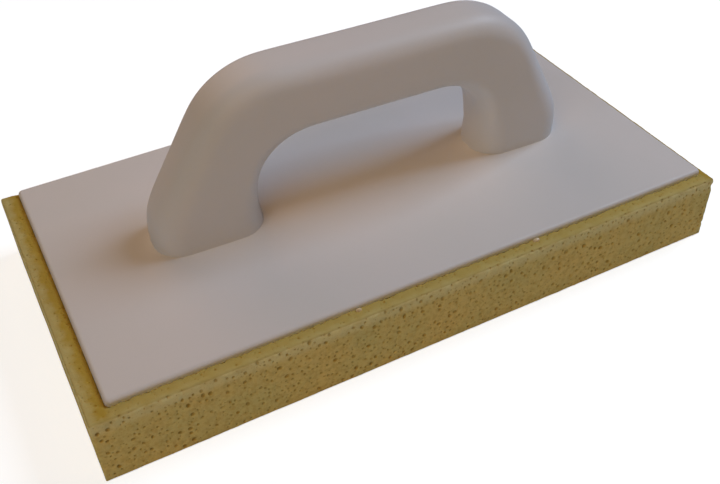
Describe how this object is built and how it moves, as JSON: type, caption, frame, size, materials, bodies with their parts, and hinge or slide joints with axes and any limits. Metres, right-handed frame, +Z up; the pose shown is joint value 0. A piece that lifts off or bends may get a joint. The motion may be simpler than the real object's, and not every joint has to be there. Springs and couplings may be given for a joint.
{
  "type": "sponge grout float",
  "caption": "Hand float with a coarse sponge block glued under a flat plastic plate and a moulded bridge handle screwed on from below, for wiping grout off tiles.",
  "frame": {"origin": "centre of the sponge's sole, on the surface that the float rests on", "axes": "+X along the float and its handle, +Y across it, +Z up from the sole to the grip"},
  "size_m": [0.28, 0.144, 0.1028],
  "materials": {
    "sponge": "matte",
    "adhesive": "satin",
    "plate_plastic": "satin",
    "screw_steel": "satin",
    "handle_plastic": "satin"
  },
  "bodies": {
    "root": {"sponge_pad": "sponge", "adhesive_film": "adhesive", "glue_beads": "adhesive", "backing_plate": "plate_plastic", "screw_left_outer": "screw_steel", "screw_left_inner": "screw_steel", "screw_right_inner": "screw_steel", "screw_right_outer": "screw_steel", "handle": "handle_plastic"}
  },
  "joints": []
}
